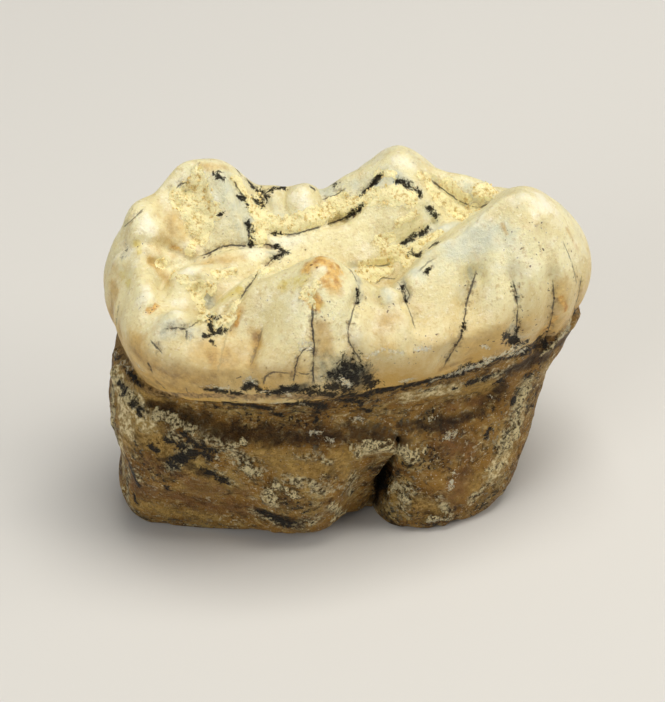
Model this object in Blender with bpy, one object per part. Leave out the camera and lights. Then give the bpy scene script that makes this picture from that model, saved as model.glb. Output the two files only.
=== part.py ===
# A fossil cave bear molar, in one piece: a broad enamel crown with blunt cusps round a
# creased chewing basin, a pinched neck, and two stout roots broken off short.
#
# +X runs along the tooth, +Y across it, +Z up. The origin is on the ground, under the middle
# of the tooth. Sizes are in millimetres, and MM turns them into Blender's metres.

from collections import namedtuple

import bmesh
import bpy
import numpy as np

MM = 0.001

# Driving dimensions.
MARGIN_Z = 12.4  # where the enamel ends, above the ground
BULGE_Z = 15.6  # where the crown is widest
BASIN_Z = 16.6  # the floor of the chewing basin
FURCATION_Z = 7.6  # where the two roots part
ROOF_RISE = 0.6  # the arch between the roots is this much higher in its middle
RIM_INSET = 1.8  # how far the rim of the chewing face lies inside the widest outline
MARGIN_INSET = 0.95  # how far the enamel's lower edge does
WALL_CURVE = 1.8  # how round the crown's wall is: 1 is a straight slope
LEDGE = 0.3  # the height of the step from the enamel's edge to the root
SLOT_X = 1.1  # the middle of the slot between the roots
MOUTH_X = -0.2  # the slot opens into a funnel on both sides, widest at the ground
MOUTH_WIDTH = 2.3
MOUTH_NEAR, MOUTH_FAR = 0.46, 0.3  # how much of the root's reach the funnel takes away
MOUTH_CURVE = 1.5  # how late the funnel opens on its way down
NEAR_LIFT = 0.7  # the left root's near edge is broken off this much above the ground
NEAR_CUT = 0.16  # and its near face slants in by this share of its reach
END_LEAN = 1.2  # the left root's end leans this far to the far side at the ground
FOOT_Z = 0.7  # below this, strokes only push sideways, so that the feet stay flat
CANAL_DEPTH = 1.0  # the broken root canals, seen from below
CANAL_REACH = (3.4, 2.0)
CANALS_X = (-7.2, 5.4)

# Where each of these starts and where it is whole, as heights or as places along or across.
MOUTH_DOWN = (10.0, 0.0)
SLANT_DOWN, SLANT_ALONG = (6.5, 0.0), (1.0, -2.0)
LEAN_ALONG = (-5.0, -13.0)
LIFT_ACROSS, LIFT_ALONG = (-1.5, -5.0), (0.0, -2.0)

COLOUR = (0.62, 0.5, 0.33)
ROUGHNESS = 0.4

# The blank: a plate of quads that is carried down level by level.
COLUMNS, ROWS, SLOT_COLUMNS = 40, 28, 2
CROWN_LEVELS, TRUNK_LEVELS, ROOT_LEVELS = 8, 5, 5
LAST_LEVEL = CROWN_LEVELS + TRUNK_LEVELS + ROOT_LEVELS
ROOT_CROWDING = 1.35  # the roots' levels lie closer together towards the ground
CORNER_BLEND = 0.7  # how fast the outline's power changes from one corner to the next
TINY = 1e-6

# The outline at one height: how far it reaches each way, and how square each corner is: 2 is an
# ellipse's corner, and more comes closer to a rectangle's.
Outline = namedtuple("Outline", "z left right near far near_left near_right far_left far_right")

CROWN = Outline(BULGE_Z, 14.9, 15.6, 8.5, 8.7, 2.15, 3.0, 4.0, 2.9)
ROOT = (
    Outline(12.1, 14.9, 15.3, 7.4, 7.5, 1.85, 3.2, 3.3, 2.9),
    Outline(10.9, 15.0, 15.0, 6.9, 7.1, 1.85, 3.2, 3.1, 2.9),
    Outline(8.7, 15.4, 13.4, 6.7, 6.9, 1.9, 3.1, 3.0, 2.9),
    Outline(6.6, 15.2, 12.5, 7.0, 7.0, 1.9, 3.1, 3.0, 2.9),
    Outline(3.8, 14.6, 11.7, 7.4, 6.9, 1.7, 3.4, 3.0, 2.9),
    Outline(1.4, 14.8, 10.5, 7.7, 6.6, 1.5, 4.0, 2.9, 2.7),
    Outline(0.5, 14.7, 9.6, 7.7, 6.2, 1.4, 4.2, 2.8, 2.6),
    Outline(0.0, 14.2, 8.8, 7.4, 5.6, 1.4, 4.2, 2.8, 2.6),
)

# A bump of the chewing face: a crest from one point to another, each (x, y, z), round on top
# and falling away at its slope. Bumps meet in creases, as the cusps of a molar do.
Bump = namedtuple("Bump", "start end radius slope")

BUMPS = {
    "near_cusp": Bump((-3.4, -4.7, 20.9), (-3.2, -4.4, 20.9), 0.9, 1.2),
    "near_cusp_left_ridge": Bump((-4.5, -3.7, 20.2), (-7.4, -2.9, 18.7), 0.5, 1.2),
    "near_left_lobe": Bump((-7.4, -2.7, 18.5), (-9.0, -2.9, 17.9), 0.5, 1.2),
    "near_cusp_right_ridge": Bump((-2.4, -4.8, 20.2), (-1.3, -5.6, 18.7), 0.5, 1.2),
    "near_knob": Bump((0.4, -5.4, 18.5), (0.9, -5.8, 18.4), 0.4, 1.3),
    "end_cusp": Bump((10.3, -3.6, 22.1), (10.5, -3.0, 21.9), 1.2, 1.1),
    "end_cusp_left_ridge": Bump((9.2, -3.3, 21.5), (4.8, -3.9, 19.5), 0.6, 1.2),
    "near_right_ridge": Bump((4.8, -3.9, 19.5), (2.9, -4.5, 18.6), 0.5, 1.2),
    "end_cusp_far_ridge": Bump((11.2, -2.2, 20.9), (12.4, 1.4, 18.9), 0.8, 1.1),
    "end_far_rim": Bump((12.0, 2.0, 18.4), (9.6, 3.6, 18.3), 0.8, 1.1),
    "end_cusp_spur": Bump((8.8, -2.2, 20.6), (5.6, -2.0, 18.9), 0.4, 1.4),
    "far_right_cusp": Bump((4.8, 3.4, 22.1), (5.0, 4.1, 21.9), 1.1, 1.25),
    "far_right_left_ridge": Bump((3.0, 4.0, 21.1), (1.2, 4.4, 20.1), 0.6, 1.3),
    "far_right_inner_ridge": Bump((3.8, 2.4, 20.4), (1.5, 1.4, 18.9), 0.5, 1.3),
    "basin_ridge": Bump((1.5, 1.4, 18.9), (-2.7, 1.1, 18.2), 0.6, 0.9),
    "far_right_end_ridge": Bump((6.2, 3.2, 20.9), (8.6, 1.8, 20.1), 0.6, 1.2),
    "far_end_knob": Bump((9.0, 1.4, 20.0), (9.9, 0.3, 19.9), 0.5, 1.2),
    "far_middle_knob": Bump((-1.8, 3.4, 20.7), (-1.3, 4.1, 20.6), 0.8, 1.4),
    "far_rim_left_of_knob": Bump((-4.9, 5.9, 20.4), (-2.7, 4.6, 20.4), 0.4, 1.5),
    "far_small_knob": Bump((-3.2, 4.4, 19.4), (-3.4, 3.4, 19.0), 0.4, 1.4),
    "far_left_cusp": Bump((-8.1, 6.0, 22.5), (-6.8, 5.5, 22.6), 1.4, 1.45),
    "far_left_inner_ridge": Bump((-6.2, 4.8, 21.2), (-6.0, 2.2, 18.8), 0.5, 1.5),
    "left_rim_far": Bump((-10.4, 6.0, 20.7), (-11.7, 4.9, 20.6), 0.9, 1.2),
    "left_rim_turn": Bump((-11.7, 4.9, 20.6), (-12.5, 3.0, 19.2), 0.8, 1.2),
    "left_rim_inner": Bump((-10.6, 5.8, 20.3), (-9.9, 3.8, 18.9), 0.5, 1.4),
    "left_rim_middle": Bump((-12.6, 3.0, 19.0), (-13.4, 0.6, 18.1), 0.7, 1.2),
    "left_rim_near": Bump((-13.4, -0.4, 18.0), (-13.2, -0.9, 17.9), 0.5, 1.3),
    "near_left_knob": Bump((-12.1, -2.7, 17.9), (-11.9, -3.0, 17.9), 0.7, 1.3),
    "basin_left_knob": Bump((-10.8, 0.5, 18.4), (-9.3, 0.3, 18.5), 0.4, 1.3),
    "basin_long_ridge": Bump((-8.4, 0.9, 18.3), (-4.2, 0.9, 18.3), 0.4, 1.2),
    "basin_near_ridge": Bump((-7.8, -2.2, 18.4), (-5.6, -1.2, 18.7), 0.5, 1.1),
    "basin_right": Bump((3.6, 0.2, 18.5), (5.0, 0.9, 18.9), 0.5, 1.0),
}
CREASE = 0.12  # how softly two bumps meet

# A dent sinks the chewing face near a line from one (x, y) to another: a pit or a valley.
Dent = namedtuple("Dent", "start end reach depth")

DENTS = {
    "pit_left_of_far_left_cusp": Dent((-8.7, 5.0), (-8.3, 3.3), 1.4, 1.0),
    "valley_right_of_far_left_cusp": Dent((-4.2, 5.4), (-4.8, 2.8), 1.2, 0.3),
    "crease_by_far_middle_knob": Dent((0.2, 3.8), (0.4, 2.6), 1.0, 0.35),
    "far_valley": Dent((-3.4, 2.5), (1.6, 2.7), 0.9, 0.5),
    "end_valley": Dent((6.2, 1.9), (8.8, -0.7), 1.2, 0.8),
    "spur_valley": Dent((6.0, 0.2), (1.6, -1.8), 1.1, 0.6),
    "valley_right_of_near_cusp": Dent((-0.4, -3.0), (2.8, -2.9), 1.1, 0.5),
    "near_ridge_crease": Dent((-9.9, -1.6), (-4.6, 0.4), 0.8, 0.5),
    "left_crease": Dent((-10.4, 3.2), (-11.8, 0.6), 0.9, 0.5),
    "far_left_crease": Dent((-9.0, 2.1), (-4.4, 1.8), 0.8, 0.4),
}

# A stroke pushes the surface along its normal, out or in, near a path of (x, y, z) points.
Stroke = namedtuple("Stroke", "path reach push")

STROKES = {
    "groove_right_of_near_cusp": Stroke(
        ((-0.7, -6.4, 18.3), (-1.2, -8.0, 16.2), (-0.8, -7.9, 13.4)), 1.5, -0.5),
    "groove_right_of_near_knob": Stroke(
        ((2.2, -6.2, 18.0), (2.8, -8.1, 16.0), (2.9, -8.2, 14.8)), 1.1, -0.3),
    "groove_middle_right": Stroke(
        ((6.4, -6.0, 18.5), (6.2, -8.1, 16.0), (5.0, -7.7, 13.0)), 1.3, -0.3),
    "groove_right": Stroke(
        ((9.2, -5.6, 18.8), (9.6, -7.6, 16.0), (9.4, -6.9, 13.2)), 1.3, -0.35),
    "groove_left_of_near_cusp": Stroke(
        ((-8.8, -4.6, 17.2), (-9.0, -7.0, 15.2), (-8.6, -6.6, 13.4)), 1.6, -0.25),
    "end_waist": Stroke(
        ((13.2, 0.6, 18.6), (15.0, 0.8, 16.0), (14.6, 0.8, 13.4)), 1.6, -0.4),
    "far_waist": Stroke(
        ((-4.2, 7.2, 18.4), (-4.3, 8.4, 16.0), (-4.2, 7.6, 13.0)), 1.8, -0.8),
    "far_groove_right": Stroke(
        ((1.0, 5.6, 19.0), (0.9, 8.4, 16.0), (0.9, 7.6, 13.4)), 1.4, -0.5),
    "far_groove_end": Stroke(
        ((8.6, 4.6, 18.6), (9.0, 7.2, 16.0), (8.8, 6.6, 13.4)), 1.5, -0.5),
    "left_groove": Stroke(
        ((-13.6, 2.0, 18.2), (-15.0, 2.3, 16.0), (-14.7, 2.2, 13.6)), 1.3, -0.3),
    "left_root_belly": Stroke(((-6.5, -6.6, 5.2), (-3.4, -7.0, 4.2)), 2.8, 0.5),
    "left_root_hollow": Stroke(((-10.6, -5.0, 6.4), (-9.4, -5.4, 2.4)), 2.2, -0.4),
    "right_root_belly": Stroke(((4.0, -7.3, 3.4), (7.0, -7.0, 3.8)), 2.8, 0.3),
    "slot_lip": Stroke(((-1.6, -7.0, 8.0), (0.4, -7.0, 8.3), (2.4, -7.0, 8.0)), 1.1, 0.4),
    "left_end_hollow": Stroke(((-14.0, 1.6, 4.4), (-13.8, 1.4, 2.6)), 1.8, -0.25),
    "far_left_belly": Stroke(((-8.0, 6.8, 4.6), (-5.0, 6.9, 4.0)), 3.2, 0.4),
    "far_neck_lump": Stroke(((6.0, 6.8, 8.4), (9.0, 6.0, 8.0)), 2.2, 0.35),
}


def smooth_step(value):
    """0 below 0, 1 above 1, and a smooth rise between."""
    share = np.clip(value, 0.0, 1.0)
    return share * share * (3.0 - 2.0 * share)


def ramp(value, ends):
    """0 at the first of two ends, 1 at the second, and a smooth rise between."""
    return smooth_step((value - ends[0]) / (ends[1] - ends[0]))


def distance_to_path(points, path):
    """How far each point lies from a path, and how far along the path it is, from 0 to 1."""
    path = np.asarray(path, float)
    nearest = np.full(len(points), np.inf)
    along = np.zeros(len(points))
    for index in range(len(path) - 1):
        start = path[index]
        run = path[index + 1] - start
        share = np.clip((points - start) @ run / (run @ run), 0.0, 1.0)
        distance = np.linalg.norm(points - start - share[:, None] * run, axis=1)
        closer = distance < nearest
        nearest[closer] = distance[closer]
        along[closer] = (index + share[closer]) / (len(path) - 1)
    return nearest, along


def root_outline(z):
    """The outline at each height of the root, between the named ones."""
    rising = ROOT[::-1]
    heights = [outline.z for outline in rising]
    columns = [np.interp(z, heights, [getattr(outline, name) for outline in rising])
               for name in Outline._fields[1:]]
    return Outline(z, *columns)


def plan(u, v, outline, inset):
    """Where (u, v) of the square blank falls inside an outline, seen from above."""
    x = u * np.sqrt(1.0 - v * v / 2.0)
    y = v * np.sqrt(1.0 - u * u / 2.0)
    radius = np.maximum(np.hypot(x, y), TINY)
    to_right = smooth_step(0.5 + CORNER_BLEND * x / radius)
    to_far = smooth_step(0.5 + CORNER_BLEND * y / radius)
    near = outline.near_left + to_right * (outline.near_right - outline.near_left)
    far = outline.far_left + to_right * (outline.far_right - outline.far_left)
    power = near + to_far * (far - near)
    circle = abs(x / radius) ** power + abs(y / radius) ** power
    swell = np.maximum(circle, TINY) ** (-1.0 / power)
    x = x * swell * (np.where(x > 0, outline.right, outline.left) - inset)
    y = y * swell * (np.where(y > 0, outline.far, outline.near) - inset)
    return x, y


def chewing_height(x, y):
    """The height of the chewing face over each plan point: bumps over a basin."""
    flat = np.column_stack([x, y])
    total = np.ones(len(x))
    for bump in BUMPS.values():
        start = np.array(bump.start)
        end = np.array(bump.end)
        distance, along = distance_to_path(flat, (start[:2], end[:2]))
        crest = start[2] + along * (end[2] - start[2])
        height = crest - bump.slope * (np.hypot(distance, bump.radius) - bump.radius)
        total += np.exp((height - BASIN_Z) / CREASE)
    z = BASIN_Z + CREASE * np.log(total)
    for dent in DENTS.values():
        distance, _ = distance_to_path(flat, (dent.start, dent.end))
        z -= dent.depth * smooth_step(1.0 - distance / dent.reach)
    return z


def carried_down(bm, faces, levels, keep_first=False):
    """Extrudes faces down, one unit at a time, and returns the lowest ones."""
    for index in range(levels):
        made = bmesh.ops.extrude_face_region(bm, geom=faces)["geom"]
        if index > 0 or not keep_first:
            bmesh.ops.delete(bm, geom=faces, context="FACES")
        faces = [item for item in made if isinstance(item, bmesh.types.BMFace)]
        corners = {vert for face in faces for vert in face.verts}
        bmesh.ops.translate(bm, verts=list(corners), vec=(0, 0, -1))
    return faces


def blank():
    """The blank in (u, v, -level): a deep plate of quads that stands on two legs."""
    bm = bmesh.new()
    bmesh.ops.create_grid(bm, x_segments=COLUMNS, y_segments=ROWS, size=1)
    lowest = carried_down(bm, list(bm.faces), CROWN_LEVELS + TRUNK_LEVELS, keep_first=True)
    step = 2.0 / COLUMNS
    left_edge = (round((SLOT_X / CROWN.right + 1.0) / step - SLOT_COLUMNS / 2) * step) - 1.0
    right_edge = left_edge + SLOT_COLUMNS * step
    left = [face for face in lowest if face.calc_center_median().x < left_edge]
    right = [face for face in lowest if face.calc_center_median().x > right_edge]
    carried_down(bm, left, ROOT_LEVELS)
    carried_down(bm, right, ROOT_LEVELS)
    bmesh.ops.recalc_face_normals(bm, faces=bm.faces)
    return bm


def crown_points(u, v, level):
    """The chewing face at level 0 and the crown's wall below it."""
    rim_x, rim_y = plan(u, v, CROWN, RIM_INSET)
    rim_z = chewing_height(rim_x, rim_y)
    z = rim_z + (MARGIN_Z - rim_z) * level / CROWN_LEVELS
    above = np.clip((z - BULGE_Z) / (rim_z - BULGE_Z), 0.0, 1.0)
    below = np.clip((BULGE_Z - z) / (BULGE_Z - MARGIN_Z), 0.0, 1.0)
    inset = RIM_INSET * above ** WALL_CURVE + MARGIN_INSET * below ** WALL_CURVE
    x, y = plan(u, v, CROWN, inset)
    return np.column_stack([x, y, z])


def root_points(u, v, level):
    """The neck, the arch between the roots, and the roots down to their broken feet."""
    trunk = (level - CROWN_LEVELS - 1) / (TRUNK_LEVELS - 1)
    leg = (level - CROWN_LEVELS - TRUNK_LEVELS) / ROOT_LEVELS
    neck_z = MARGIN_Z - LEDGE
    z = np.where(leg > 0, FURCATION_Z * (1.0 - np.clip(leg, 0, 1)) ** ROOT_CROWDING,
                 neck_z + (FURCATION_Z - neck_z) * trunk)
    x, y = plan(u, v, root_outline(z), 0.0)
    funnel = np.exp(-((x - MOUTH_X) / MOUTH_WIDTH) ** 2) * ramp(z, MOUTH_DOWN) ** MOUTH_CURVE
    y = y * (1.0 - funnel * np.where(y < 0, MOUTH_NEAR, MOUTH_FAR))
    slant = ramp(z, SLANT_DOWN)
    y = y * np.where(y < 0, 1.0 - NEAR_CUT * slant * ramp(x, SLANT_ALONG), 1.0)
    y = y + END_LEAN * slant * ramp(x, LEAN_ALONG)
    inside = np.maximum(abs(u), abs(v)) < 1.0 - 1.0 / COLUMNS
    z = z + np.where(inside & (leg <= 0), ROOF_RISE * (1.0 - v * v), 0.0)
    lifted = ramp(y, LIFT_ACROSS) * ramp(x, LIFT_ALONG) * (1.0 - z / FURCATION_Z) ** 2
    z = z + np.where(leg > 0, NEAR_LIFT * lifted, 0.0)
    for middle in CANALS_X:
        away = np.hypot((x - middle) / CANAL_REACH[0], y / CANAL_REACH[1])
        pit = CANAL_DEPTH * smooth_step(1.0 - away)
        z = z + np.where(inside & (level == LAST_LEVEL), pit, 0.0)
    return np.column_stack([x, y, z])


def stroked(bm):
    """Pushes the surface along its normals near each stroke."""
    bm.normal_update()
    points = np.array([vert.co for vert in bm.verts])
    normals = np.array([vert.normal for vert in bm.verts])
    push = np.zeros(len(points))
    for stroke in STROKES.values():
        distance, _ = distance_to_path(points, stroke.path)
        push += stroke.push * smooth_step(1.0 - distance / stroke.reach)
    normals[points[:, 2] < FOOT_Z, 2] = 0.0
    points += normals * push[:, None]
    for vert, point in zip(bm.verts, points):
        vert.co = point


def fossil_material():
    """The tooth's own material: the middle of its cream enamel and brown root."""
    made = bpy.data.materials.new("fossil_tooth")
    made.use_nodes = True
    shader = made.node_tree.nodes["Principled BSDF"]
    shader.inputs["Base Color"].default_value = (*COLOUR, 1.0)
    shader.inputs["Roughness"].default_value = ROUGHNESS
    shader.inputs["Metallic"].default_value = 0.0
    made.diffuse_color = (*COLOUR, 1.0)
    return made


def tooth():
    """The whole molar as one closed solid."""
    bm = blank()
    blank_points = np.array([vert.co for vert in bm.verts])
    u, v = blank_points[:, 0], blank_points[:, 1]
    level = np.rint(-blank_points[:, 2])
    on_crown = (level <= CROWN_LEVELS)[:, None]
    points = np.where(on_crown, crown_points(u, v, np.minimum(level, CROWN_LEVELS)),
                      root_points(u, v, level))
    for vert, point in zip(bm.verts, points):
        vert.co = point
    stroked(bm)
    low = np.min([vert.co for vert in bm.verts], axis=0)
    high = np.max([vert.co for vert in bm.verts], axis=0)
    middle = ((low + high) / 2)[:2]
    bmesh.ops.translate(bm, verts=bm.verts, vec=(-middle[0], -middle[1], -low[2]))
    bmesh.ops.scale(bm, verts=bm.verts, vec=(MM, MM, MM))
    bmesh.ops.triangulate(bm, faces=bm.faces)
    mesh = bpy.data.meshes.new("tooth")
    bm.to_mesh(mesh)
    bm.free()
    mesh.shade_smooth()
    mesh.materials.append(fossil_material())
    bpy.context.scene.collection.objects.link(bpy.data.objects.new("tooth", mesh))


for old in list(bpy.data.objects):
    bpy.data.objects.remove(old)
tooth()
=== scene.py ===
# A fossil cave bear molar on a pale floor, under soft studio light.
# The imported solid gives the main form. This script adds the fine relief, the stains, some painted
# shade and highlights, and the finish.
# Sizes are in millimetres, but for the studio's, which are in metres. A stroke is a row of numbers:
# what its table names, then the x and y of each point of its path. Those are pixels of the
# 665 x 702 photo, or millimetres across and up when a side of the tooth is named at the end.

import math
import random

import bpy
import numpy as np
from mathutils import Matrix, Vector, noise
from mathutils.bvhtree import BVHTree


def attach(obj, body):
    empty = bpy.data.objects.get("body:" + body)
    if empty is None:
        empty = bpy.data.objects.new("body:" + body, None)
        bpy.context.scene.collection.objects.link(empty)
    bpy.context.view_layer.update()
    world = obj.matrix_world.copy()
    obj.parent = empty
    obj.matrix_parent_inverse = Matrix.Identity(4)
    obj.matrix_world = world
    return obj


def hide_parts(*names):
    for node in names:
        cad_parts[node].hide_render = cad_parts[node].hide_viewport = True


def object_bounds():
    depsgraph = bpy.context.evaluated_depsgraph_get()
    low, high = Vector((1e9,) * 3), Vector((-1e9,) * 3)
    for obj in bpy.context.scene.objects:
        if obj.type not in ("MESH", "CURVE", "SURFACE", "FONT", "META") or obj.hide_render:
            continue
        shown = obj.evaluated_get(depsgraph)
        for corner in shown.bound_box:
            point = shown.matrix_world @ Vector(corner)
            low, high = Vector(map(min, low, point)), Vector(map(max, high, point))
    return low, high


mm = 0.001

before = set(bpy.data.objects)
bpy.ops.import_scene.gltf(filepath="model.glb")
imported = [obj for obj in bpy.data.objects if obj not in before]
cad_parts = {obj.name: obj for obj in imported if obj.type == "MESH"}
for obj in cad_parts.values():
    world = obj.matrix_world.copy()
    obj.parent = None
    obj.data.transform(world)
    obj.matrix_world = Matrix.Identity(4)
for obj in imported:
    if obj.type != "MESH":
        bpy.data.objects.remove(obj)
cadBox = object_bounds()
print("frame loaded")


# Camera, at the photograph's angle.

photoView = {
    "width": 665,
    "height": 702,
    "azimuth": -20,  # degrees round from straight at the tooth's side
    "elevation": 36,
    "distance": 200,
    "pixelsPerMm": 15.7,  # at the point aimed at
    "aimRight": -0.92,
    "aimUp": 9.97,
    "sensor": 36,
    "nearLimit": 10,
}


def photoCamera():
    # the axes to the right, up and back, the eye's place, and the focal length in pixels
    azimuth = math.radians(photoView["azimuth"])
    elevation = math.radians(photoView["elevation"])
    right = Vector((math.cos(azimuth), math.sin(azimuth), 0))
    back = Vector((math.sin(azimuth) * math.cos(elevation),
                   -math.cos(azimuth) * math.cos(elevation), math.sin(elevation)))
    aim = right * photoView["aimRight"] + Vector((0, 0, photoView["aimUp"]))
    focal = photoView["pixelsPerMm"] * photoView["distance"]
    return right, back.cross(right), back, aim + back * photoView["distance"], focal


def addCamera():
    right, up, back, eye, focal = photoCamera()
    bpy.ops.object.camera_add(location=eye * mm)
    camera = bpy.context.object
    camera.name = "photo_camera"
    camera.matrix_world = Matrix.LocRotScale(eye * mm, Matrix((right, up, back)).transposed(), None)
    camera.data.sensor_fit = "VERTICAL"
    camera.data.sensor_height = photoView["sensor"]
    camera.data.lens = focal / photoView["height"] * photoView["sensor"]
    camera.data.clip_start = photoView["nearLimit"] * mm
    bpy.context.scene.camera = camera


addCamera()
print("camera set")


# Studio: a pale floor and soft boxes.

studio = {
    "floorSize": 1.6,
    "floorColour": "#D6D4CF",
    "floorRoughness": 0.9,
    "floorShine": 0.2,
    "worldColour": "#E9ECF0",
    "worldStrength": 0.22,
    "boxSize": 0.20,
    "aimHeight": 0.01,
    "boxes": {
        "overhead": {"place": (0.05, -0.01, 0.36), "watts": 1.04, "colour": "#FFFBF4"},
        "right_fill": {"place": (0.30, -0.12, 0.16), "watts": 0.50, "colour": "#FFF8EE"},
        "left_fill": {"place": (-0.30, -0.16, 0.14), "watts": 0.42, "colour": "#FAFAFA"},
    },
}


def linear(hexColour):
    # an sRGB hex colour as linear red, green and blue
    parts = [int(hexColour[i:i + 2], 16) / 255 for i in (1, 3, 5)]
    return tuple(p / 12.92 if p <= 0.04045 else ((p + 0.055) / 1.055) ** 2.4 for p in parts)


def addNode(tree, kind, settings=None, inputs=None):
    # settings are the node's own. An input is a socket that feeds it, a hex colour or a value.
    node = tree.nodes.new(kind)
    for name, value in (settings or {}).items():
        setattr(node, name, value)
    for name, value in (inputs or {}).items():
        if isinstance(value, bpy.types.NodeSocket):
            tree.links.new(value, node.inputs[name])
        elif isinstance(value, str):
            node.inputs[name].default_value = (*linear(value), 1)
        else:
            node.inputs[name].default_value = value
    return node


def newMaterial(name):
    material = bpy.data.materials.new(name)
    material.use_nodes = True
    material.node_tree.nodes.clear()
    return material, material.node_tree


def mattePaperFloor():
    # matte paper: pale, with hardly any shine
    material, tree = newMaterial("matte_paper")
    body = addNode(tree, "ShaderNodeBsdfPrincipled", {},
                   {"Base Color": studio["floorColour"], "Roughness": studio["floorRoughness"],
                    "Specular IOR Level": studio["floorShine"]})
    addNode(tree, "ShaderNodeOutputMaterial", {}, {"Surface": body.outputs["BSDF"]})
    return material


def addStudio():
    bpy.ops.mesh.primitive_plane_add(size=studio["floorSize"])
    floor = bpy.context.object
    floor.name = "floor"
    floor.data.materials.append(mattePaperFloor())
    for name, box in studio["boxes"].items():
        bpy.ops.object.light_add(type="AREA", location=box["place"])
        light = bpy.context.object
        light.name = name
        light.data.size = studio["boxSize"]
        light.data.energy = box["watts"]
        light.data.color = linear(box["colour"])
        aim = Vector((0, 0, studio["aimHeight"])) - light.location
        light.rotation_euler = aim.to_track_quat("-Z", "Y").to_euler()
    world = bpy.data.worlds.new("studio_air")
    bpy.context.scene.world = world
    world.use_nodes = True
    air = world.node_tree.nodes["Background"]
    air.inputs["Color"].default_value = (*linear(studio["worldColour"]), 1)
    air.inputs["Strength"].default_value = studio["worldStrength"]
    bpy.context.scene.view_settings.view_transform = "Standard"


addStudio()
print("studio lit")


# Materials. A stain is a mark painted on the mesh, made ragged by noise in the material. Some stains
# also hold painted shade and painted highlights, as said beside them.

def newStain(mark, colours, grain, fill, soft, cover, roughness, **more):
    # grain is the size of the ragged edge's lumps, and fill how much of them the stain takes.
    # By name come speck and edge, which mix the two colours, bump for height, shine, and
    # span, rough and twist for the noise of the ragged edge.
    return {"mark": mark, "colours": colours, "grain": grain, "fill": fill, "soft": soft,
            "cover": cover, "roughness": roughness, **more}


stains = [  # in the order they lie on the tooth
    # milky caps: whiter enamel on the knob tops, with painted highlights where light catches the knobs
    newStain("milkyAndPaintedHighlight", ("#FBF6DA", "#FFFDEC"), 1.0, 1.2, 1.1, 0.7, 0.34),
    newStain("bluish", ("#DEE0C8", "#C6CDBF"), 1.6, 1.2, 1.0, 0.7, 0.38),
    # tan: an ochre tint on the enamel, and painted shade low on the left of the near wall, under the
    # crown's bulge
    newStain("tanAndPaintedShade", ("#DDBB6E", "#B58E45"), 1.6, 1.2, 1.1, 0.85, 0.5),
    # amber: a darker brown tint, and painted shade low on the left of the near wall, under the crown's
    # bulge
    newStain("amberAndPaintedShade", ("#CDA65A", "#8E6A30"), 1.4, 1.25, 1.1, 0.85, 0.5),
    newStain("smudge", ("#D0CEB4", "#8C8D7A"), 0.9, 1.15, 1.0, 0.8, 0.42),
    newStain("halo", ("#6F7160", "#171B15"), 1.0, 1.35, 1.0, 0.93, 0.42, shine=0.2),
    newStain("yellow", ("#E8DB8C", "#D3B84F"), 0.7, 1.1, 0.8, 0.8, 0.45),
    newStain("rust", ("#EBC064", "#BA8029"), 0.5, 1.35, 0.9, 0.92, 0.5, speck=0.4),
    # ochre: ochre patches on the root, and painted light on the root's left shoulder
    newStain("ochreAndPaintedLight", ("#DDB667", "#96712F"), 0.6, 1.15, 0.6, 0.75, 0.5, speck=0.3),
    newStain("redBrown", ("#96673A", "#5C3A17"), 1.3, 1.2, 0.9, 0.72, 0.45, speck=0.7),
    # paleRootAndPaintedLight: pale crust on the root, and painted light on the root's left shoulder
    newStain("paleRootAndPaintedLight", ("#9A7F47", "#F4E3B2"), 0.7, 1.15, 0.5, 0.85, 0.6, speck=0.3, edge=(0.2, 0.8),
             bump=1.0),
    newStain("greyCrust", ("#1C150B", "#E6D8A8"), 0.5, 0.95, 0.5, 0.85, 0.6, speck=0.26,
             edge=(0.3, 0.75), rough=0.8, bump=1.4),
    # darkBandAndPaintedShade: dark stain on the neck, and painted shade under the crown's overhang and
    # in the hollow between the roots
    newStain("darkBandAndPaintedShade", ("#1E1004", "#50340F"), 1.1, 1.3, 0.8, 0.85, 0.4, speck=0.5),
    # lip: brown at the enamel's lower edge, and painted shade under that edge
    newStain("lipAndPaintedShade", ("#B8945A", "#4E3817"), 0.5, 1.2, 0.5, 0.92, 0.6),
    # seam: a brown stain along the cracks, and painted shade in the grooves they follow
    newStain("seamAndPaintedShade", ("#A5834A", "#4F3A1D"), 0.4, 1.0, 0.7, 0.75, 0.6),
    newStain("brownSpeck", ("#7A5522", "#2A1B0A"), 0.22, 0.2, 0.08, 0.9, 0.7, rough=0.5),
    # clay: its darker colour lies in the low spots between its lumps, painted shade in the crevices
    newStain("clay", ("#D2B268", "#FFF3BC"), 0.4, 1.0, 0.1, 1.0, 0.95, speck=0.4, edge=(0.05, 0.5),
             bump=2.0),
    newStain("paleChip", ("#54401F", "#F6E4AE"), 0.5, 0.85, 0.15, 0.95, 0.6, speck=0.22,
             edge=(0.25, 0.6), rough=0.8, bump=1.6),
    # manganese: black mineral stains, and painted shade in the hollow between the roots
    newStain("manganeseAndPaintedShade", ("#040302", "#1A140A"), 0.45, 1.0, 0.12, 0.97, 0.4, rough=0.85,
             span=(0.38, 0.62), twist=0.7, bump=0.8, shine=0.1),
    # whiteChipAndPaintedGlint: pale chips and flakes, and painted glints where light catches the flaky
    # crust
    newStain("whiteChipAndPaintedGlint", ("#FFEBB8", "#FFFAE0"), 0.26, 0.95, 0.1, 0.97, 0.16, rough=0.8,
             span=(0.42, 0.62), bump=2.5),
]

crackLook = {"wobble": 0.35, "shift": 1.8, "core": 0.4, "edge": 1.2, "thinning": 1.6,
             "colour": "#241B10"}
noiseLook = {"span": (0.3, 0.7), "roughness": 0.65, "speckShare": 0.6, "speckEdge": (0.1, 0.9),
             "cluster": (0.35, 0.75)}


def readMark(tree, name):
    return addNode(tree, "ShaderNodeAttribute", {"attribute_name": name}).outputs["Fac"]


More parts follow.
